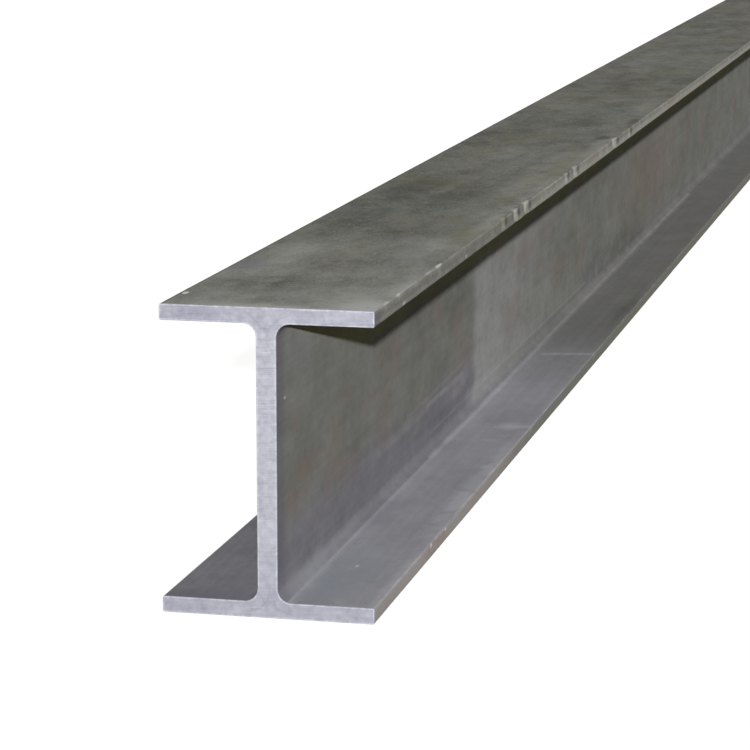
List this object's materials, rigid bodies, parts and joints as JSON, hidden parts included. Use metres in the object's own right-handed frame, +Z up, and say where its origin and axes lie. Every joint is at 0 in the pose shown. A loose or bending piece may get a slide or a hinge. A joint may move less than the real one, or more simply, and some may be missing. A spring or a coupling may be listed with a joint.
{
  "type": "steel h-beam",
  "caption": "Length of hot-rolled steel H-beam: wide parallel flanges joined by a thick web with round roots, dark mill scale and square saw-cut ends.",
  "frame": {"origin": "underside of the lower flange, at the middle of the width and of the length", "axes": "+Z up from the lower flange to the upper one, +Y along the beam, +X across the flanges; the end in the picture's foreground is at -Y"},
  "size_m": [0.21, 6, 0.302],
  "materials": {
    "mill_steel": "hot-rolled mill scale, dark olive grey with bluish patches, rolling streaks, pits, scratches and a little rust; the saw-cut ends are bare steel, light grey"
  },
  "bodies": {
    "root": {"h_beam": "mill_steel"}
  },
  "joints": []
}
